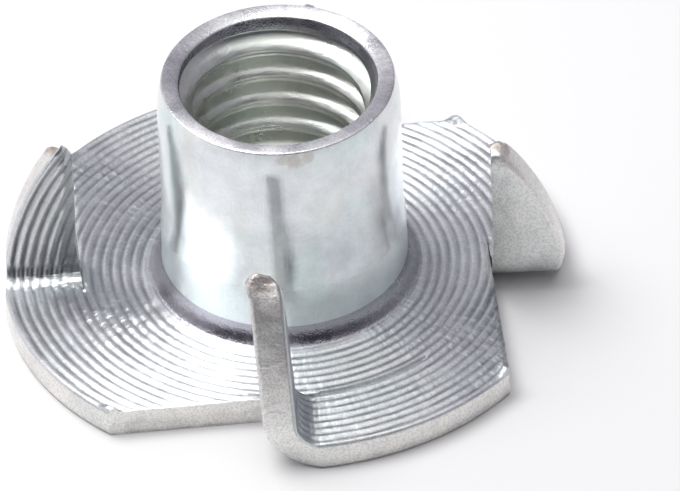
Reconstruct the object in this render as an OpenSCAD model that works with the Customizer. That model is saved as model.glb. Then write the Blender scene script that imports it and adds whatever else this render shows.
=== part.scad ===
// Pronged tee nut, pressed and drawn from one round steel blank, with a screw thread in its barrel.
// Millimetres. +Z runs up the barrel; the origin is the centre of the flange's flat back face.

/* [Flange] */
// Outside diameter of the flange
flange_d = 22; // [21:0.5:26]
// Thickness of the flange
flange_t = 1.2; // [1:0.1:1.5]
// Radius where the first fine ring is pressed into the face
ring_start_r = 5.7; // [5.5:0.05:6]
// Number of fine rings
ring_count = 14; // [2:1:14]
// Distance from one ring to the next
ring_pitch = 0.38; // [0.3:0.01:0.38]
// Depth of a ring
ring_depth = 0.06; // [0.02:0.01:0.1]
// Break of the flange's sharp outer edges
rim_break = 0.1; // [0.05:0.01:0.2]

/* [Barrel] */
// Overall height, from the back face to the top of the barrel
height = 10.5; // [9:0.1:16]
// Outside diameter of the barrel
barrel_d = 9.4; // [9.2:0.1:10]
// Outside diameter of the wider foot of the barrel
foot_d = 9.6; // [9.6:0.1:10.2]
// Height where the foot has narrowed to the barrel
foot_top = 3.9; // [3:0.1:5]
// Outside diameter of the ring where the barrel meets the flange
neck_d = 10.46; // [10.4:0.02:10.8]
// Height of the hollow curve between that ring and the foot
neck_h = 0.8; // [0.5:0.1:1.2]
// Outside diameter of the top lip
lip_d = 9.04; // [8.8:0.02:9.1]
// Height of the rounded shoulder below the lip
shoulder_h = 1.4; // [0.8:0.1:2]

/* [Thread] */
// Diameter of the bore over the thread's crests; the thread itself isn't cut
bore_d = 6.65; // [6.4:0.01:6.8]
// Diameter of the countersink at the top
mouth_d = 7.7; // [7.4:0.1:8.2]
// Depth of the countersink at the top
mouth_depth = 1.1; // [0.6:0.1:1.4]
// Diameter of the countersink at the back
back_d = 8.2; // [7.4:0.1:8.4]
// Depth of the countersink at the back
back_depth = 0.7; // [0.4:0.1:1.2]

/* [Prongs] */
// Number of prongs
prong_count = 4; // [3:1:4]
// Distance from the axis to the straight cut that frees a prong
cut_r = 7.93; // [7.8:0.01:8.5]
// Turn of that cut from square
cut_skew = 4.3; // [0:0.1:6]
// Distance from the prong's middle line to where its bend starts
bend_x = 1.15; // [0.8:0.05:1.5]
// Inner radius of the bend
bend_r = 0.9; // [0.7:0.1:1.2]
// Angle that a prong is bent through
bend_angle = 86; // [80:1:90]
// Thickness of a prong
prong_t = 1.3; // [1.2:0.05:1.5]
// Distance from the axis to a prong's upright inner edge
prong_r = 8.1; // [8:0.05:8.5]
// Height of a prong's tip
prong_h = 7.6; // [6:0.1:7.6]
// Width of the slopes that narrow the tip
tip_slope = 0.35; // [0.2:0.05:0.5]
// Height of a tip's slopes
tip_slope_h = 0.7; // [0.4:0.1:1]

/* [Hidden] */
$fn = 96;

rim_r = flange_d / 2;
barrel_r = barrel_d / 2;
foot_r = foot_d / 2;
neck_r = neck_d / 2;
lip_r = lip_d / 2;
bore_r = bore_d / 2;
mouth_r = mouth_d / 2;
back_r = back_d / 2;

lip_break = 0.05;
arc_steps = 6;
// Stretch of the sheet round the bend, which lifts a prong by this much
bend_lift = 0.3;
clear = 1;

// Radius of the arc that moves w sideways while it rises h, starting straight up
function arc_r(w, h) = (w * w + h * h) / (2 * w);

// Points along an arc about c, from angle a0 to angle a1
function arc(c, r, a0, a1) =
    [for (i = [0:arc_steps]) let (a = a0 + (a1 - a0) * i / arc_steps) c + r * [cos(a), sin(a)]];

// The hollow curve at the barrel's neck, from the foot down to the flange
function neck_arc() =
    let (w = neck_r - foot_r, r = arc_r(w, neck_h))
    arc([foot_r + r, flange_t + neck_h], r, 180 + asin(neck_h / r), 180);

// The rounded shoulder, from the barrel up to the lip
function shoulder_arc() =
    let (r = arc_r(barrel_r - lip_r, shoulder_h))
    arc([barrel_r - r, height - lip_break - shoulder_h], r, 0, asin(shoulder_h / r));

// The fine rings across the flange's face, from the rim inwards
function ring_points() =
    [for (i = [ring_count - 1:-1:0], side = [1, 0, -1])
        [ring_start_r + (i + side / 4) * ring_pitch, side == 0 ? flange_t - ring_depth : flange_t]];

// Half of the section through flange and barrel
module body_section() {
    polygon(concat(
        [[back_r, 0], [rim_r - rim_break, 0], [rim_r, rim_break]],
        [[rim_r, flange_t - rim_break], [rim_r - rim_break, flange_t]],
        ring_points(),
        neck_arc(),
        [[barrel_r, foot_top]],
        shoulder_arc(),
        [[lip_r - lip_break, height], [mouth_r, height]],
        [[bore_r, height - mouth_depth], [bore_r, back_depth]]
    ));
}

// Everything beyond the straight cut that frees the prong
module beyond_cut() {
    rotate(cut_skew)
        translate([-2 * rim_r, -cut_r - 2 * rim_r])
            square([4 * rim_r, 2 * rim_r]);
}

// The piece of the flange that is bent up, and the notch that it leaves
module notch() {
    translate([0, 0, -clear])
        linear_extrude(flange_t + 2 * clear)
            intersection() {
                beyond_cut();
                translate([bend_x - 2 * rim_r, -2 * rim_r])
                    square(2 * rim_r);
            }
}

// Edge view of a prong: the bend, and the upright with its narrowed tip
module prong_section() {
    lean = 90 - bend_angle;
    inner_z = flange_t + bend_r;
    outer_r = bend_r + prong_t;
    intersection() {
        difference() {
            translate([bend_x, outer_r])
                circle(outer_r);
            translate([bend_x, inner_z])
                circle(bend_r);
        }
        translate([bend_x - 2 * outer_r, -clear])
            square([2 * outer_r, inner_z + clear]);
    }
    inner_x = bend_x - bend_r;
    outer_x = bend_x - outer_r;
    top_shift = (prong_h - inner_z) * tan(lean);
    slope_shift = (prong_h - tip_slope_h - inner_z) * tan(lean);
    polygon([
        [outer_x, inner_z],
        [inner_x, inner_z],
        [inner_x - slope_shift, prong_h - tip_slope_h],
        [inner_x - top_shift - tip_slope, prong_h],
        [outer_x - top_shift + tip_slope, prong_h],
        [outer_x - slope_shift, prong_h - tip_slope_h]
    ]);
}

// One prong, on the -Y side: the freed piece of the round blank stood on end
module prong() {
    intersection() {
        rotate([90, 0, 0])
            linear_extrude(rim_r + clear)
                prong_section();
        translate([-rim_r, 0, bend_lift])
            rotate([0, 90, 0])
                linear_extrude(2 * rim_r)
                    intersection() {
                        circle(rim_r);
                        translate([-2 * rim_r, -prong_r - 2 * rim_r])
                            square([4 * rim_r, 2 * rim_r]);
                    }
        cylinder(h = height, r = rim_r);
    }
}

module tee_nut() {
    color([0.78, 0.80, 0.80]) {
        difference() {
            rotate_extrude()
                body_section();
            for (i = [0:prong_count - 1])
                rotate(i * 360 / prong_count)
                    notch();
        }
        for (i = [0:prong_count - 1])
            rotate(i * 360 / prong_count)
                prong();
    }
}

tee_nut();
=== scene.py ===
from math import acos, atan2, cos, hypot, pi, radians, sin, sqrt

import bmesh
import bpy
from mathutils import Matrix, Vector, noise


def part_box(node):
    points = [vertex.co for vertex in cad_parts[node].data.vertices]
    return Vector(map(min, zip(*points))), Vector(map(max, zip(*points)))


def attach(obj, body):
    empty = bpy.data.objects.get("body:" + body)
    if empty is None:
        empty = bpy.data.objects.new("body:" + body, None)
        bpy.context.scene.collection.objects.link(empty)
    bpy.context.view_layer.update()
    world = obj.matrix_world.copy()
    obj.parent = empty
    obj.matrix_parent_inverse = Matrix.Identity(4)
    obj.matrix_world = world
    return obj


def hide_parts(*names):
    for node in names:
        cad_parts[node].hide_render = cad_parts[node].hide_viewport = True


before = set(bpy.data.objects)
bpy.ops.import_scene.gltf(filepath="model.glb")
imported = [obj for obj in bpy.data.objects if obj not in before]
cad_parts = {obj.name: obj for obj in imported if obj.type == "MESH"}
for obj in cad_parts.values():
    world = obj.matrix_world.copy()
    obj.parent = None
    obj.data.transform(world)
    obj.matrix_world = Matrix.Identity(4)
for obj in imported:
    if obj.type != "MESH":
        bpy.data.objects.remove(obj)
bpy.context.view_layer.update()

lowCorner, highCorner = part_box("tee_nut")
mm = 0.001
rimR = (highCorner.x - lowCorner.x) / 2 / mm
topZ = highCorner.z / mm


def smooth(t):
    t = min(max(t, 0.0), 1.0)
    return t * t * (3 - 2 * t)


def mix(a, b, t):
    return a + (b - a) * t


def arcPoints(centre, radius, first, last, steps):
    points = []
    for i in range(steps + 1):
        a = radians(mix(first, last, i / steps))
        points.append((centre[0] + radius * cos(a), centre[1] + radius * sin(a)))
    return points


def spinSection(bm, points, steps, rise=0.0):
    verts = [bm.verts.new((r, 0, z)) for r, z in points]
    edges = [bm.edges.new(pair) for pair in zip(verts, verts[1:])]
    bmesh.ops.spin(bm, geom=verts + edges, cent=(0, 0, 0), axis=(0, 0, 1), angle=2 * pi,
                   steps=steps, dvec=(0, 0, rise), use_merge=(rise == 0))


def justFaces(geom):
    return [g for g in geom if isinstance(g, bmesh.types.BMFace)]


def sliceFaces(bm, faces, point, normal, clear=False):
    geom = dict.fromkeys(faces)         # each face, edge and vertex once, in the order found
    for f in faces:
        geom.update(dict.fromkeys([*f.edges, *f.verts]))
    cut = bmesh.ops.bisect_plane(bm, geom=list(geom), dist=1e-4, plane_co=point, plane_no=normal,
                                 clear_outer=clear)
    return justFaces(cut["geom"])


def openEdges(bm):
    return [e for e in bm.edges if len(e.link_faces) == 1]


# flange and barrel: one section, spun

flange = dict(
    steps=288,                          # segments round the axis
    sheet=1.2,
    neckR=5.23, neckHeight=0.80,
    back=(5.2, 6.6, 8.0, 9.5),          # radii across the back face
    rim=((-0.18, 0), (-0.05, 0.045), (0, 0.16), (0, 0.45), (0, 0.75), (-0.01, 1.06), (-0.04, 1.16),
         (-0.11, 1.2)),                 # out from the rim's radius, height
)

rings = dict(
    first=5.65, pitch=0.385, count=14,
    depth=0.060,
    shape=((0.30, 0.0), (0.13, 1.0), (-0.13, 1.0), (-0.30, 0.0), (-0.50, -0.2)),   # across a pitch, depth
    uneven=0.35, chatter=0.004, beads=0.019, beaded=(-6.9, -1.0, 3.8),
    smears=((-7.3, 4.2, 1.2, 0.6), (7.2, 1.2, 1.2, 0.6), (-6.6, -2.6, 1.2, 0.3), (6.9, -3.4, 0.9, 0.4)),
    scored=(6, -103, -48),              # one ring pressed deeper, between two angles
)

barrel = dict(
    footR=4.80, footTop=3.90,
    foot=((-0.012, 2.1), (-0.02, 2.9), (-0.035, 3.78)),     # out from the foot's radius, height
    wallR=4.70, wallRows=(5.0, 6.5, 8.0),
    lipR=4.52, lipBreak=0.06, shoulder=1.40,
    lip=((4.51, -0.03), (4.48, -0.005), (4.44, 0.0), (4.25, -0.012), (4.05, -0.04), (3.91, -0.075),
         (3.87, -0.10)),                # radius, height against the top
    mouthR=3.85, mouthDrop=0.13,
    dip=0.09, dipFrom=8.3,              # the mouth's front stands this much lower than its back
    backR=4.10, backDepth=0.70,
)

screw = dict(
    steps=144, turns=11,
    pitch=1.25, start=-1.27,
    crestR=3.325, rootR=4.03,
    coneR=3.58, coneDepth=0.68,
    shape=((0.00, 0.06), (0.035, 0.015), (0.10, 0.0), (0.15, 0.03), (0.34, 0.50), (0.52, 0.95),
           (0.575, 1.0), (0.655, 1.0), (0.71, 0.95), (0.90, 0.50), (1.08, 0.03), (1.13, 0.0),
           (1.215, 0.015), (1.25, 0.06)),   # height in a turn, share of the thread's depth
)

plain, ringed, drawn, sheared, threaded, neck, lipped = range(7)


def sagRadius(width, height):
    return (width * width + height * height) / (2 * width)


def ringPoints():
    t, points = flange["sheet"], []
    for i in reversed(range(rings["count"])):
        centre = rings["first"] + i * rings["pitch"]
        for across, deep in rings["shape"]:
            points.append((centre + across * rings["pitch"], t - deep * rings["depth"]))
    return points


def sectionPoints():
    t, b = flange["sheet"], barrel
    back = [(b["backR"] + 0.1, 0)] + [(r, 0) for r in flange["back"]]
    rim = [(rimR + out, z) for out, z in flange["rim"]]
    width = flange["neckR"] - b["footR"]
    r = sagRadius(width, flange["neckHeight"])
    fall = 180 + (90 - 180 / pi * atan2(r - width, flange["neckHeight"]))
    hollow = arcPoints((b["footR"] + r, t + flange["neckHeight"]), r, fall, 180, 8)
    foot = [(b["footR"] + out, z) for out, z in b["foot"]]
    wall = [(b["wallR"] + 0.01, b["footTop"] + 0.1)] + [(b["wallR"], z) for z in b["wallRows"]]
    drop = b["wallR"] - b["lipR"]
    big = sagRadius(drop, b["shoulder"])
    top = topZ - b["lipBreak"]
    over = 180 / pi * atan2(b["shoulder"], big - drop)
    shoulder = arcPoints((b["wallR"] - big, top - b["shoulder"]), big, 0, over, 7)
    lip = [(r, topZ + z) for r, z in b["lip"]]
    return back + rim + ringPoints() + hollow + foot + wall + shoulder + lip


def finishAt(p):
    t = flange["sheet"]
    r = hypot(p.x, p.y)
    if p.z > t - 0.12 and flange["neckR"] < r < rimR - 0.02 and p.z < t + 0.05:
        return ringed
    if p.z > topZ - 0.2 and r < barrel["lipR"]:
        return lipped
    if p.z > t and r < flange["neckR"] + 0.1:
        return neck if p.z < t + flange["neckHeight"] + 0.02 else drawn
    if r > rimR - 0.2:
        return sheared
    return plain


def makeBlank(bm):
    spinSection(bm, sectionPoints(), flange["steps"])
    for f in bm.faces:
        f.material_index = finishAt(f.calc_center_median())


def wearRings(bm):
    t, g = flange["sheet"], rings
    ring, first, last = g["scored"]
    scoredR = g["first"] + ring * g["pitch"]
    for v in bm.verts:
        r = hypot(v.co.x, v.co.y)
        if not (g["first"] - 0.2 < r < rimR - 0.05 and t - 0.08 < v.co.z < t + 0.03):
            continue
        angle = atan2(v.co.y, v.co.x)
        deep = 1 + g["uneven"] * noise.noise(Vector((v.co.x, v.co.y, 3)) * 0.9)
        for x, y, size, amount in g["smears"]:
            away = hypot(v.co.x - x, v.co.y - y) / size + 0.35 * noise.noise(v.co * 1.6)
            deep *= 1 - amount * smooth(1.3 - away)
        if abs(r - scoredR) < 0.08 and first < angle * 180 / pi < last:
            deep += 0.9
        x, y, size = g["beaded"]
        beads = g["beads"] * smooth(1.4 - hypot(v.co.x - x, v.co.y - y) / size)
        chatter = noise.noise(Vector((angle * 26, r * 2.1, 1.7))) * (g["chatter"] + beads)
        v.co.z = t + (v.co.z - t) * deep + chatter - 0.008


# prongs: sheared free along a straight cut, then bent up

shear = dict(
    distance=7.93, skew=4.3,            # the notch's straight cut
    reach=2.0,                          # how far behind it the sheet is sliced with it
    bendX=1.15, uprightR=8.10,          # where a bend starts, and a prong's own cut edge
    elbowX=-1.96,                       # where that edge leaves the notch's cut
    rows=(-0.22, -0.12, -0.05, 0, 0.06, 0.14, 0.3, 0.6),    # slices beside the cut
    wallRows=(0.10, 0.24, 0.38, 0.52, 0.66, 0.90, 1.06),    # slices up a cut wall
    wallStep=0.21, wallSteps=42,
    tipRows=(0.05, 0.12, 0.22, 0.36),
    outside=-9.5,                       # past the end of any cut
)

bend = dict(radius=0.9, length=2.85, thicken=0.083, drawnIn=0.30)

prongs = (
    dict(angle=86.0, tip=(-7.34, -8.15), turn=0, tear=-0.25, flare=0.16, thick=0.30, burr=0.16),    # front
    dict(angle=86.0, tip=(-6.98, -8.30), turn=8, tear=0.10, flare=0.0, thick=0.45, burr=0.22),      # right
    dict(angle=84.0, tip=(-7.36, -8.15), turn=0, tear=-0.35, flare=0.10, thick=0.22, burr=0.20),    # back
    dict(angle=86.0, tip=(-6.99, -8.49), turn=50, tear=0.75, flare=0.0, thick=0.60, burr=0.05),     # left
)

edge = dict(
    rollOver=0.05, burrAt=(-6.95, -8.45), burrSize=0.55,
    wipeWidth=0.85, wipeDepth=0.15,     # a prong's face is drawn round beside its cut
    breakTop=0.62, breakDepth=0.045, breakRough=0.05,   # where a wall turns rough, and how rough
    tipLength=1.0, tipMiddle=0.50,      # how much of a prong is thinned, and towards what height
)


def shearNormal():
    a = radians(shear["skew"])
    return Vector((sin(a), -cos(a), 0))


def beyond(p):
    return shearNormal().dot(p) - shear["distance"]


# the lower part of a sheared wall breaks away rough, behind the clean upper part
def roughenWall(wall, inward):
    inner = set(wall)
    for v in {v for f in wall for v in f.verts}:
        if all(f in inner for f in v.link_faces):
            broken = smooth((edge["breakTop"] + 0.15 * noise.noise(v.co * 1.1) - v.co.z) / 0.12)
            rough = edge["breakRough"] * noise.noise(v.co * 3.5) * (0.3 + broken)
            v.co += inward * (edge["breakDepth"] * broken + rough)


# the notch's top edge is drawn down a little, and a burr is left at its corner with the rim
def rollEdge(verts, burr):
    t = flange["sheet"]
    for v in verts:
        if v.co.z > t - 0.12 and beyond(v.co) > -0.3:
            k = smooth(1 + beyond(v.co) / 0.22)
            uneven = 1 + 0.6 * noise.noise(Vector((v.co.x * 1.5, 5, 0)))
            fade = smooth((shear["bendX"] - v.co.x) / 1.2)
            v.co.z = mix(v.co.z, t - 0.01, k) - edge["rollOver"] * k * k * uneven * fade
            x, y = edge["burrAt"]
            near = hypot(v.co.x - x, v.co.y - y) / edge["burrSize"] + 0.4 * noise.noise(v.co * 3)
            v.co.z += burr * smooth(1.2 - near)


# a prong's ringed face is wiped smooth and round along its cut, less towards the tip
def wipeEdge(verts):
    t = flange["sheet"]
    for v in verts:
        if v.co.z > t - 0.12:
            width = edge["wipeWidth"] * mix(0.35, 1, smooth((v.co.x + 7.5) / 6))
            away = max(-v.co.y - shear["uprightR"], beyond(v.co))
            k = smooth(1 - away / width) * smooth((shear["bendX"] - v.co.x) / 1.5)
            v.co.z = mix(v.co.z, t - 0.02, min(k * 2, 1)) - edge["wipeDepth"] * k


# thins a tip, flares its lower side out and tears its end back
def shapeTip(v, spec, out):
    x, y, t = spec["tip"][0], spec["tip"][1], flange["sheet"]
    u = -(out.x * (v.co.x - x) + out.y * (v.co.y - y)) / edge["tipLength"]
    if u < 1:
        deep = v.co.z / t
        k = mix(spec["thick"], 1, sqrt(max(1 - (1 - u) ** 2, 0)))
        v.co.z = edge["tipMiddle"] + (v.co.z - edge["tipMiddle"]) * k
        v.co.z -= spec["flare"] * (1 - deep) * smooth(1 - abs(u - 0.45) / 0.5)
        pull = spec["tear"] * (1 - deep) if spec["tear"] > 0 else -spec["tear"] * deep
        v.co.x += (pull + 0.10 * noise.noise(v.co * 3.1)) * smooth(1 - u)


def facesBetween(bm, low, high):
    found = []
    for f in bm.faces:
        p = f.calc_center_median()
        if p.y < 0 and beyond(p) > -shear["reach"] and low < p.x < high and p.z < flange["sheet"] + 0.05:
            found.append(f)
    return found


# closes one side of the cut with a wall: the flange's where side is -1, the prong's where it is 1
def fillCut(bm, side, heel):
    loop = []
    for e in openEdges(bm):
        onCut = all(abs(beyond(v.co)) < 1e-3 and v.co.x < shear["bendX"] + 1e-3 for v in e.verts)
        if onCut and e != heel and side * beyond(e.link_faces[0].calc_center_median()) > 0:
            loop.append(e)
    return bmesh.ops.edgeloop_fill(bm, edges=loop + [heel], mat_nr=sheared)["faces"]


def standEdge(bm, x, y):
    ends = {v for e in openEdges(bm) for v in e.verts if abs(v.co.x - x) < 1e-3 and abs(v.co.y - y) < 2e-3}
    ends = sorted(ends, key=lambda v: v.co.z)
    return bm.edges.new((ends[0], ends[-1]))


def sliceWall(bm, wall, along):
    for z in shear["wallRows"]:
        wall = sliceFaces(bm, wall, (0, 0, z), (0, 0, 1))
    for step in range(shear["wallSteps"]):
        wall = sliceFaces(bm, wall, along * (shear["bendX"] - shear["wallStep"] * step), along)
    return wall


# along the rings, so that they stay round
def straightenCut(faces):
    for v in {v for f in faces for v in f.verts}:
        r = max(hypot(v.co.x, v.co.y), shear["uprightR"])
        turned = acos(shear["distance"] / r) - acos(shear["uprightR"] / r) - radians(shear["skew"])
        turned = min(turned, 0) * smooth(1 - beyond(v.co) / 2) * smooth((shear["elbowX"] - v.co.x) / 1.2)
        v.co = Matrix.Rotation(turned, 3, "Z") @ v.co


def trimTip(bm, faces, at, out):
    faces = sliceFaces(bm, faces, at, out, clear=True)
    for row in shear["tipRows"]:
        faces = sliceFaces(bm, faces, at - out * row, out)
    cap = [e for e in openEdges(bm) if all(abs(out.dot(v.co - at)) < 2e-4 for v in e.verts)]
    return faces + bmesh.ops.edgeloop_fill(bm, edges=cap, mat_nr=sheared)["faces"]


# a straight cut askew frees the prong; its cut edge is drawn straight as it is bent up
def shearProng(bm, spec, mark, layer):
    away, bendX, askew, outside = shearNormal(), shear["bendX"], radians(shear["skew"]), shear["outside"]
    along = Vector((-away.y, away.x, 0))
    corner = (bendX * sin(askew) - shear["distance"]) / cos(askew)
    faces = sliceFaces(bm, facesBetween(bm, outside, bendX + 0.5), (bendX, 0, 0), (1, 0, 0))
    for offset in shear["rows"]:
        faces = sliceFaces(bm, faces, away * (shear["distance"] + offset), away)
    rest = {f for f in faces if beyond(f.calc_center_median()) < 0}
    freed = [f for f in facesBetween(bm, outside, bendX) if beyond(f.calc_center_median()) > 0]
    bmesh.ops.split(bm, geom=freed)
    ends = dict.fromkeys(v for e in openEdges(bm) for v in e.verts if abs(v.co.x - bendX) < 1e-3)
    bmesh.ops.remove_doubles(bm, verts=list(ends), dist=1e-4)

    heel = standEdge(bm, bendX, corner)
    notch = fillCut(bm, -1, heel)
    flank = fillCut(bm, 1, heel)
    roughenWall(sliceWall(bm, notch, along), -away)
    flank = sliceWall(bm, flank, along)
    roughenWall(flank, away)
    rollEdge({v for f in rest if f.is_valid for v in f.verts if v.co.x < bendX + 1e-3}, spec["burr"])

    freed = connectedTo(flank, bendX)
    straightenCut(freed)
    a = radians(spec["turn"])
    tipOut = Vector((-cos(a), sin(a), 0))
    freed = trimTip(bm, freed, Vector((*spec["tip"], 0)), tipOut)
    verts = {v for f in freed for v in f.verts}
    wipeEdge(verts)
    for v in verts:
        v[layer] = mark
        shapeTip(v, spec, tipOut)


# every face of the freed piece, found by walking from its cut wall up to the bend
def connectedTo(faces, bendX):
    found, edgeOfSearch = dict.fromkeys(faces), list(faces)
    while edgeOfSearch:
        f = edgeOfSearch.pop()
        for e in f.edges:
            if all(abs(v.co.x - bendX) < 1e-3 for v in e.verts):
                continue
            for g in e.link_faces:
                if g not in found:
                    found[g] = None
                    edgeOfSearch.append(g)
    return list(found)


def bendProng(bm, spec, mark, layer):
    t, inner, turn = flange["sheet"], bend["radius"], radians(spec["angle"])
    toFront = Matrix.Rotation(radians(-90 * (mark - 1)), 4, "Z")
    back = toFront.inverted()
    for v in [v for v in bm.verts if v[layer] == mark]:
        p = toFront @ v.co
        s = shear["bendX"] - p.x
        if s <= 0:
            continue
        grow = 1 + bend["thicken"] * smooth(s / bend["length"])
        reach = inner + (t - p.z) * grow
        a = turn * min(s / bend["length"], 1)
        drawnIn = bend["drawnIn"] * sin(pi * min(s / bend["length"], 1)) * smooth((-p.y - 9.8) / 1.1)
        p.y += drawnIn * (1 - 0.7 * p.z / t)
        extra = max(0, s - bend["length"])
        p.x = shear["bendX"] - reach * sin(a) - extra * cos(turn)
        p.z = t + inner - reach * cos(a) + extra * sin(turn)
        v.co = back @ p


def makeProngs(bm):
    layer = bm.verts.layers.int.new("prong")
    quarter = Matrix.Rotation(radians(-90), 3, "Z")
    for mark, spec in enumerate(prongs, 1):
        shearProng(bm, spec, mark, layer)
        bmesh.ops.rotate(bm, cent=(0, 0, 0), matrix=quarter, verts=bm.verts)
    flat = bm.verts.layers.float_vector.new("blank")
    for v in bm.verts:
        v[flat] = v.co * mm
    for mark, spec in enumerate(prongs, 1):
        bendProng(bm, spec, mark, layer)


# bore: a helical section screwed up the barrel, opened at both ends

def coneRadius(z):
    s, b = screw, barrel
    slope = (b["mouthR"] - s["coneR"]) / (s["coneDepth"] - b["mouthDrop"])
    top = b["mouthR"] - slope * max(topZ - b["mouthDrop"] - z, 0)
    bottom = b["backR"] - (b["backR"] - s["crestR"]) / b["backDepth"] * max(z, 0)
    return max(top, bottom)


def oneTurn():
    s = screw
    deep = s["rootR"] - s["crestR"]
    turn = bmesh.new()
    spinSection(turn, [(s["crestR"] + d * deep, s["start"] + z) for z, d in s["shape"]], s["steps"],
                s["pitch"] / s["steps"])
    return turn


def threadMesh():
    s = screw
    turn = oneTurn()
    for i in range(1, s["turns"]):
        copy = bmesh.ops.duplicate(turn, geom=turn.faces[:s["steps"] * (len(s["shape"]) - 1)])
        verts = [g for g in copy["geom"] if isinstance(g, bmesh.types.BMVert)]
        bmesh.ops.translate(turn, vec=(0, 0, s["pitch"] * i), verts=verts)
    bmesh.ops.remove_doubles(turn, verts=turn.verts, dist=2e-3)
    for v in turn.verts:
        r = hypot(v.co.x, v.co.y)
        k = max(r, coneRadius(v.co.z)) / r
        v.co.x *= k
        v.co.y *= k
    faces = sliceFaces(turn, turn.faces, (0, 0, topZ - barrel["mouthDrop"]), (0, 0, 1), clear=True)
    sliceFaces(turn, faces, (0, 0, 0), (0, 0, -1), clear=True)
    for f in turn.faces:
        p = f.calc_center_median()
        # the countersink gets the neck's darkened finish, which is painted shade
        onCone = p.z > topZ - s["coneDepth"] and hypot(p.x, p.y) > coneRadius(p.z) - 0.02
        f.material_index = neck if onCone else threaded
    mesh = bpy.data.meshes.new("thread")
    turn.to_mesh(mesh)
    turn.free()
    return mesh


def makeThread(bm):
    bm.from_mesh(threadMesh())
    for low, high in ((-0.001, 0.001), (topZ - 0.25, topZ)):
        loops = [e for e in openEdges(bm) if all(low <= v.co.z <= high for v in e.verts)]
        for f in justFaces(bmesh.ops.triangle_fill(bm, edges=loops, use_beauty=True)["geom"]):
            f.material_index = lipped if high > 1 else plain


# the drawn barrel's end isn't quite square
def tiltMouth(bm):
    for v in bm.verts:
        above = v.co.z - barrel["dipFrom"]
        if above > 0:
            v.co.z -= barrel["dip"] / 2 * (1 - v.co.y / barrel["lipR"]) * smooth(above / 2)


def makeNut():
    bm = bmesh.new()
    makeBlank(bm)
    wearRings(bm)
    print("flange and barrel spun")
    makeProngs(bm)
    print("prongs sheared and bent")
    makeThread(bm)
    tiltMouth(bm)
    bmesh.ops.recalc_face_normals(bm, faces=bm.faces)
    bmesh.ops.scale(bm, vec=(mm, mm, mm), verts=bm.verts)
    print("nut:", len(bm.verts), "vertices,", len(bm.faces), "faces, open edges", len(openEdges(bm)))
    mesh = bpy.data.meshes.new("tee_nut_body")
    bm.to_mesh(mesh)
    bm.free()
    mesh.shade_smooth()
    mesh.set_sharp_from_angle(angle=radians(50))
    nutPiece = bpy.data.objects.new("tee_nut_body", mesh)
    bpy.context.scene.collection.objects.link(nutPiece)
    return nutPiece


# finishes

def plug(tree, socket, value):
    if isinstance(value, bpy.types.NodeSocket):
        tree.links.new(value, socket)
    elif value is not None:
        socket.default_value = value


def addNode(tree, kind, values=(), **settings):
    node = tree.nodes.new("ShaderNode" + kind)
    for name, value in settings.items():
        setattr(node, name, value)
    for name, value in dict(values).items():
        plug(tree, node.inputs[name], value)
    return node


def calc(tree, operation, *values):
    return addNode(tree, "Math", dict(enumerate(values)), operation=operation).outputs[0]


def plus(tree, first, second):
    return calc(tree, "ADD", first, second)


def minus(tree, first, second):
    return calc(tree, "SUBTRACT", first, second)


def times(tree, first, second):
    return calc(tree, "MULTIPLY", first, second)


def scaled(tree, vector, factors):
    return addNode(tree, "VectorMath", {0: vector, 1: factors}, operation="MULTIPLY").outputs[0]


def grain(tree, vector, scale, detail=2.0, roughness=0.5):
    values = {"Vector": vector, "Scale": scale, "Detail": detail, "Roughness": roughness}
    return addNode(tree, "TexNoise", values).outputs[0]


def ease(tree, value, low, high, first=0.0, last=1.0):
    values = {"Value": value, "From Min": low, "From Max": high, "To Min": first, "To Max": last}
    return addNode(tree, "MapRange", values, interpolation_type="SMOOTHSTEP").outputs[0]


def blendColour(tree, factor, first, second, kind="MIX"):
    node = addNode(tree, "Mix", data_type="RGBA", blend_type=kind)
    for socket, value in zip((0, 6, 7), (factor, first, second)):
        plug(tree, node.inputs[socket], value)
    return node.outputs[2]


def newGroup(name, inputs, outputs):
    tree = bpy.data.node_groups.new(name, "ShaderNodeTree")
    for label, kind, value in inputs:
        socket = tree.interface.new_socket(label, in_out="INPUT", socket_type="NodeSocket" + kind)
        if value is not None:
            socket.default_value = value
    for label, kind in outputs:
        tree.interface.new_socket(label, in_out="OUTPUT", socket_type="NodeSocket" + kind)
    start, end = tree.nodes.new("NodeGroupInput"), tree.nodes.new("NodeGroupOutput")
    return tree, start.outputs, end.inputs


def useGroup(tree, group, values):
    node = addNode(tree, "Group", node_tree=group)
    for name, value in values.items():
        plug(tree, node.inputs[name], value)
    return node.outputs


plating = dict(green=(0.62, 0.78, 0.76, 1), straw=(0.78, 0.77, 0.66, 1), cloud=(0.86, 1.06))


# cloudy colour of the plating: green and straw patches over grey
def tintGroup():
    inputs = (("Vector", "Vector", None), ("Base", "Color", (0.8, 0.8, 0.8, 1)), ("Strength", "Float", 0.5))
    tree, given, out = newGroup("platingTint", inputs, (("Color", "Color"), ("Cloud", "Float")))
    place = given["Vector"]
    cool = ease(tree, grain(tree, place, 0.33, 3.0), 0.45, 0.70)
    warm = ease(tree, grain(tree, scaled(tree, place, (1.3, -1.1, 0.8)), 0.45, 3.0), 0.50, 0.72)
    cloud = grain(tree, place, 0.9, 4.0, 0.6)
    colour = blendColour(tree, times(tree, cool, given["Strength"]), given["Base"],
                         plating["green"])
    colour = blendColour(tree, times(tree, warm, times(tree, given["Strength"], 0.6)),
                         colour, plating["straw"])
    dark = ease(tree, cloud, 0.25, 0.75, *plating["cloud"])
    colour = blendColour(tree, 1.0, colour, dark, "MULTIPLY")
    tree.links.new(colour, out["Color"])
    tree.links.new(cloud, out["Cloud"])
    return tree


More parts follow.
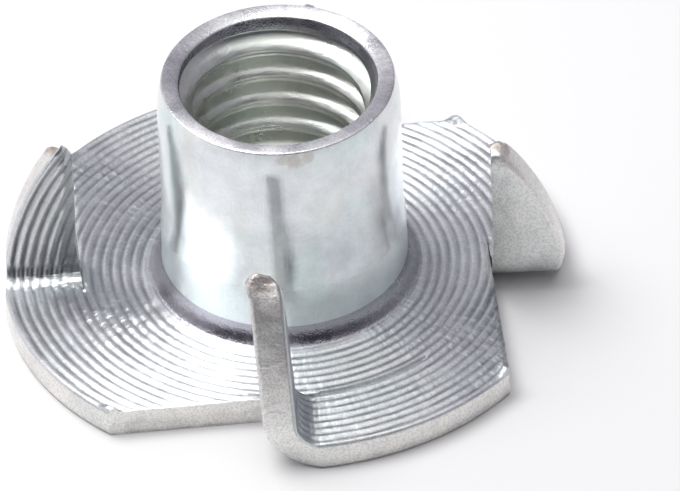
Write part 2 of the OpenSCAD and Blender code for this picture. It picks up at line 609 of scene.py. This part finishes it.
# fine crystals of the plating: a height in millimetres and a mask of the small dark pits
def speckGroup():
    inputs = (("Vector", "Vector", None), ("Size", "Float", 9.0), ("Depth", "Float", 0.004))
    tree, given, out = newGroup("platingGrain", inputs, (("Height", "Float"), ("Pits", "Float")))
    fine = grain(tree, given["Vector"], given["Size"], 3.0, 0.65)
    coarse = grain(tree, given["Vector"], times(tree, given["Size"], 0.28), 2.0)
    height = times(tree, plus(tree, fine, coarse), given["Depth"])
    pits = ease(tree, grain(tree, given["Vector"], given["Size"], 1.0), 0.36, 0.58, 1.0, 0.0)
    tree.links.new(height, out["Height"])
    tree.links.new(pits, out["Pits"])
    return tree


# a ragged spot round one place, used for stains and for painted shade
def spotGroup():
    inputs = (("Vector", "Vector", None), ("Place", "Vector", None), ("Size", "Float", 1.0))
    tree, given, out = newGroup("stainAndShadeSpot", inputs, (("Mask", "Float"),))
    ends = {0: given["Vector"], 1: given["Place"]}
    away = addNode(tree, "VectorMath", ends, operation="DISTANCE").outputs["Value"]
    ragged = times(tree, grain(tree, given["Vector"], 2.6, 4.0, 0.65), 1.5)
    edgeAt = minus(tree, plus(tree, calc(tree, "DIVIDE", away, given["Size"]), ragged), 0.75)
    tree.links.new(ease(tree, edgeAt, 0.45, 1.0, 1.0, 0.0), out["Mask"])
    return tree


groups = dict(tint=tintGroup(), speck=speckGroup(), spot=spotGroup())


def startFinish(name, rough):
    mat = bpy.data.materials.new(name)
    mat.use_nodes = True
    tree = mat.node_tree
    shader = tree.nodes["Principled BSDF"]
    shader.inputs["Metallic"].default_value = 1.0
    shader.inputs["Roughness"].default_value = rough
    place = scaled(tree, addNode(tree, "TexCoord").outputs["Object"], (1000, 1000, 1000))
    return mat, tree, shader, place


def endFinish(tree, shader, colour, rough, height):
    plug(tree, shader.inputs["Base Color"], colour)
    plug(tree, shader.inputs["Roughness"], rough)
    bump = addNode(tree, "Bump", {"Strength": 1.0, "Distance": mm, "Height": height})
    plug(tree, shader.inputs["Normal"], bump.outputs[0])


def spread(tree, shader, amount, turn=0.0):
    shader.inputs["Anisotropic"].default_value = amount
    shader.inputs["Anisotropic Rotation"].default_value = turn
    aboutZ = addNode(tree, "Tangent", direction_type="RADIAL", axis="Z")
    plug(tree, shader.inputs["Tangent"], aboutZ.outputs[0])


# darkens the colour in ragged spots: real stains, and on the lip painted shade
def addStainsAndShade(tree, place, colour, spots, stainAndShadeColour):
    for spot, size, amount in spots:
        mask = useGroup(tree, groups["spot"], {"Vector": place, "Place": spot, "Size": size})["Mask"]
        colour = blendColour(tree, times(tree, mask, amount), colour, stainAndShadeColour)
    return colour


barrelLook = dict(
    base=(0.76, 0.785, 0.805, 1), rough=0.16, footRough=0.30,
    spots=(((0.1, -4.6, 10.15), 0.34, 0.4), ((0.55, -4.6, 10.1), 0.40, 0.5),
           ((1.05, -4.5, 10.15), 0.34, 0.4)),   # place, size, strength
    stainAndShadeColour=(0.42, 0.36, 0.29, 1), dull=(0.50, 0.58, 0.57, 1), dark=(0.40, 0.43, 0.45, 1),
    footFade=(3.9, 4.6),                # heights between which the dull foot ends
    streaks=(7, 7, 0.35), scratches=(16, 16, 0.7),          # scales of marks drawn up the wall
    pits=0.10, pitColour=(0.4, 0.42, 0.42, 1),
)


def barrelFinish():
    look = barrelLook
    mat, tree, shader, place = startFinish("barrelZinc", look["rough"])
    xyz = addNode(tree, "SeparateXYZ", {0: place}).outputs
    tint = useGroup(tree, groups["tint"], {"Vector": place, "Base": look["base"], "Strength": 0.45})
    streak = grain(tree, scaled(tree, place, look["streaks"]), 1.0, 3.0, 0.6)
    scratch = ease(tree, grain(tree, scaled(tree, place, look["scratches"]), 1.0, 2.0), 0.62, 0.72)
    specks = useGroup(tree, groups["speck"], {"Vector": place, "Size": 8.0, "Depth": 0.004})
    foot = ease(tree, plus(tree, xyz["Z"], times(tree, tint["Cloud"], 0.8)), *look["footFade"], 1.0, 0.0)
    rough = plus(tree, look["rough"], times(tree, foot, look["footRough"] - look["rough"]))
    rough = plus(tree, rough, times(tree, minus(tree, tint["Cloud"], 0.5), 0.16))
    rough = plus(tree, rough, times(tree, streak, 0.05))
    colour = blendColour(tree, times(tree, foot, 0.25), tint["Color"], look["dull"])
    colour = blendColour(tree, times(tree, scratch, 0.15), colour, look["dark"])
    colour = blendColour(tree, times(tree, specks["Pits"], look["pits"]), colour, look["pitColour"])
    colour = addStainsAndShade(tree, place, colour, look["spots"], look["stainAndShadeColour"])
    height = plus(tree, specks["Height"], times(tree, streak, 0.004))
    endFinish(tree, shader, colour, rough, height)
    return mat


# radius in millimetres and angle on the flat blank, which follow the sheet up the prongs
def polar(tree):
    blank = addNode(tree, "Attribute", attribute_name="blank").outputs["Vector"]
    flat = scaled(tree, blank, (1000, 1000, 1000))
    xyz = addNode(tree, "SeparateXYZ", {0: flat}).outputs
    squares = plus(tree, times(tree, xyz["X"], xyz["X"]), times(tree, xyz["Y"], xyz["Y"]))
    return calc(tree, "SQRT", squares), calc(tree, "ARCTAN2", xyz["Y"], xyz["X"]), flat


def around(tree, angle, radius, scales):
    values = {0: times(tree, angle, scales[0]), 1: times(tree, radius, scales[1])}
    return addNode(tree, "CombineXYZ", values).outputs[0]


ringedLook = dict(
    base=(0.87, 0.89, 0.91, 1), rough=0.34,
    spread=0.90, turn=0.25,             # how far reflections are drawn out, and which way
    ticks=0.025, tickScale=(30, 1.3),   # fine marks across the rings: height, scales round and outwards
    lines=0.014, lineScale=(3.5, 15),   # and along them
    # painted shade in the grooves between the rings: how much, and its colour
    grooveShade=0.52, grooveShadeColour=(0.17, 0.19, 0.21, 1),
    pits=0.20, pitColour=(0.3, 0.31, 0.33, 1),
)


def ringedFinish():
    look = ringedLook
    mat, tree, shader, place = startFinish("ringedZinc", look["rough"])
    radius, angle, flat = polar(tree)
    tint = useGroup(tree, groups["tint"], {"Vector": place, "Base": look["base"], "Strength": 0.22})
    ticks = grain(tree, around(tree, angle, radius, look["tickScale"]), 1.0, 1.0, 0.5)
    lines = grain(tree, around(tree, angle, radius, look["lineScale"]), 1.0, 3.0, 0.6)
    patch = ease(tree, grain(tree, flat, 0.30, 2.0), 0.38, 0.60, 0.15, 1.0)
    specks = useGroup(tree, groups["speck"], {"Vector": place, "Size": 12.0, "Depth": 0.009})
    height = plus(tree, times(tree, times(tree, ticks, patch), look["ticks"]),
                  times(tree, lines, look["lines"]))
    height = plus(tree, height, specks["Height"])
    rough = ease(tree, tint["Cloud"], 0.3, 0.7, look["rough"] - 0.05, look["rough"] + 0.08)
    colour = blendColour(tree, times(tree, specks["Pits"], look["pits"]), tint["Color"], look["pitColour"])
    # painted shade: the colour darkens towards the middle of each groove between the rings, patchily
    ringAt = calc(tree, "DIVIDE", minus(tree, radius, rings["first"] - rings["pitch"] / 2), rings["pitch"])
    across = calc(tree, "ABSOLUTE", minus(tree, calc(tree, "FRACT", ringAt), 0.5))
    shadedGrooves = ease(tree, across, 0.06, 0.27, look["grooveShade"], 0.0)
    shadedGrooves = times(tree, shadedGrooves, ease(tree, grain(tree, flat, 0.8, 2.0), 0.3, 0.6, 0.45, 1.0))
    colour = blendColour(tree, shadedGrooves, colour, look["grooveShadeColour"])
    endFinish(tree, shader, colour, rough, height)
    spread(tree, shader, look["spread"], look["turn"])
    return mat


brown = (0.46, 0.34, 0.27, 1)
roughPits, roughPitColour = 0.28, (0.30, 0.29, 0.30, 1)
tipStains = (((-0.9, -8.3, 7.3), 0.7, 0.35), ((-8.6, 0.9, 7.1), 0.9, 0.8), ((8.5, -0.6, 7.1), 0.6, 0.4))
roughLooks = dict(
    plainZinc=dict(base=(0.80, 0.81, 0.80, 1), rough=0.40, size=10.0, depth=0.018, fibres=0.003,
                   spots=tipStains, stainAndShadeColour=brown),
    shearedZinc=dict(base=(0.92, 0.905, 0.88, 1), rough=0.44, size=12.0, depth=0.022, fibres=0.008,
                     spots=tipStains, stainAndShadeColour=brown),
    # painted shade: the neck's base is darkened and tinted violet, well below the zinc's own colour,
    # standing in for the dark room it reflects; the countersink takes this finish too
    neckZincPaintedShade=dict(base=(0.43, 0.42, 0.47, 1), rough=0.24, size=12.0, depth=0.018, fibres=0.0,
                  spots=(), stainAndShadeColour=brown),
    lipZinc=dict(base=(0.98, 0.97, 1.0, 1), rough=0.30, size=12.0, depth=0.012, fibres=0.0,
                 # the two dark violet-grey spots at the lip's left and right are painted shade, the dark
                 # surroundings reflected there, not stains
                 spots=(((-4.3, 1.0, 10.4), 1.6, 0.32), ((4.3, -1.2, 10.4), 1.6, 0.30)),
                 stainAndShadeColour=(0.40, 0.39, 0.43, 1)),
)


def roughFinish(name):
    look = roughLooks[name]
    mat, tree, shader, place = startFinish(name, look["rough"])
    tint = useGroup(tree, groups["tint"], {"Vector": place, "Base": look["base"], "Strength": 0.15})
    grains = {"Vector": place, "Size": look["size"], "Depth": look["depth"]}
    specks = useGroup(tree, groups["speck"], grains)
    fibres = grain(tree, scaled(tree, place, (1.2, 1.2, 9)), 1.0, 3.0, 0.6)
    height = plus(tree, specks["Height"], times(tree, fibres, look["fibres"]))
    colour = blendColour(tree, times(tree, specks["Pits"], roughPits), tint["Color"], roughPitColour)
    colour = addStainsAndShade(tree, place, colour, look["spots"], look["stainAndShadeColour"])
    rough = ease(tree, tint["Cloud"], 0.3, 0.7, look["rough"] - 0.06, look["rough"] + 0.08)
    endFinish(tree, shader, colour, rough, height)
    if name == "lipZinc":
        spread(tree, shader, 0.85, ringedLook["turn"])
    return mat


threadLook = dict(base=(0.89, 0.91, 0.86, 1), rough=0.30, rubbed=0.010)


def threadFinish():
    look = threadLook
    mat, tree, shader, place = startFinish("threadZinc", look["rough"])
    tint = useGroup(tree, groups["tint"], {"Vector": place, "Base": look["base"], "Strength": 0.25})
    specks = useGroup(tree, groups["speck"], {"Vector": place, "Size": 9.0, "Depth": 0.006})
    rubbed = grain(tree, scaled(tree, place, (1.5, 1.5, 12)), 1.0, 3.0, 0.6)
    height = plus(tree, specks["Height"], times(tree, rubbed, look["rubbed"]))
    rough = ease(tree, tint["Cloud"], 0.3, 0.7, look["rough"] - 0.04, look["rough"] + 0.08)
    endFinish(tree, shader, tint["Color"], rough, height)
    return mat


# in the order of the numbers that faces carry
def finishNut(nut):
    for mat in (roughFinish("plainZinc"), ringedFinish(), barrelFinish(), roughFinish("shearedZinc"),
                threadFinish(), roughFinish("neckZincPaintedShade"), roughFinish("lipZinc")):
        nut.data.materials.append(mat)


nut = makeNut()
finishNut(nut)
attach(nut, "root")
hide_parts("tee_nut")
print("finishes done")


studio = dict(
    distance=0.44, elevation=40.0, roll=-2.227,
    aimRight=0.00209, aimUp=0.001585,
    lens=596.7, sensor=36.0,
)


def placeCamera():
    s = studio
    e, roll = radians(s["elevation"]), radians(s["roll"])
    forward = Vector((0, cos(e), -sin(e)))
    right, up = Vector((1, 0, 0)), Vector((0, sin(e), cos(e)))
    camX = cos(roll) * right + sin(roll) * up
    camY = -sin(roll) * right + cos(roll) * up
    place = s["aimRight"] * camX + s["aimUp"] * camY - s["distance"] * forward
    data = bpy.data.cameras.new("camera")
    data.lens, data.sensor_width = s["lens"], s["sensor"]
    data.clip_start, data.clip_end = 0.01, 20
    camera = bpy.data.objects.new("camera", data)
    camera.matrix_world = Matrix.Translation(place) @ Matrix((camX, camY, -forward)).transposed().to_4x4()
    bpy.context.scene.collection.objects.link(camera)
    bpy.context.scene.camera = camera


# each glow: where it comes from, the cosines where it starts and is full, and how much it adds
glows = (
    ((0.0, -0.02, 0.995), 0.76, 0.93, 1.15),        # soft ceiling
    ((-0.75, 0.55, 0.37), 0.70, 0.98, 0.4),         # left, behind
    ((0.90, 0.35, 0.26), 0.40, 0.98, -0.15),        # the right is darker
    ((0.0, -0.90, 0.43), 0.25, 0.80, -0.38),        # dark room round the camera
)


def makeWorld(ambient=0.45):
    world = bpy.data.worlds.new("studio")
    bpy.context.scene.world = world
    world.use_nodes = True
    tree = world.node_tree
    direction = addNode(tree, "TexCoord").outputs["Generated"]
    total = ambient
    for toward, starts, full, amount in glows:
        cosine = addNode(tree, "VectorMath", {0: direction, 1: Vector(toward).normalized()},
                         operation="DOT_PRODUCT").outputs["Value"]
        total = plus(tree, total, ease(tree, cosine, starts, full, 0.0, amount))
    background = tree.nodes["Background"]
    tinted = blendColour(tree, total, (0.92, 0.88, 1.06, 1), (1.0, 0.99, 0.99, 1))    # violet in the dark
    plug(tree, background.inputs["Color"], tinted)
    plug(tree, background.inputs["Strength"], total)


# one soft key lamp, near enough that the floor fades a little from left to right
def addKey(place=(-0.045, 0.015, 0.115), size=0.088, glow=4.7):
    data = bpy.data.lights.new("key", "AREA")
    data.shape, data.size = "DISK", size
    data.energy = glow * pi * pi * size * size / 4
    lamp = bpy.data.objects.new("key", data)
    place = Vector(place)
    lamp.matrix_world = Matrix.Translation(place) @ (-place).to_track_quat("-Z", "Y").to_matrix().to_4x4()
    bpy.context.scene.collection.objects.link(lamp)


def makeFloor():
    bm = bmesh.new()
    bmesh.ops.create_grid(bm, x_segments=1, y_segments=1, size=2.5)
    mesh = bpy.data.meshes.new("floor")
    bm.to_mesh(mesh)
    bm.free()
    floor = bpy.data.objects.new("floor", mesh)
    bpy.context.scene.collection.objects.link(floor)
    mat = bpy.data.materials.new("paper")
    mat.use_nodes = True
    mat.node_tree.nodes["Principled BSDF"].inputs["Base Color"].default_value = (0.9, 0.9, 0.9, 1)
    mat.node_tree.nodes["Principled BSDF"].inputs["Roughness"].default_value = 0.9
    mesh.materials.append(mat)


placeCamera()
makeWorld()
addKey()
makeFloor()
bpy.context.scene.view_settings.view_transform = "Standard"
print("studio done")
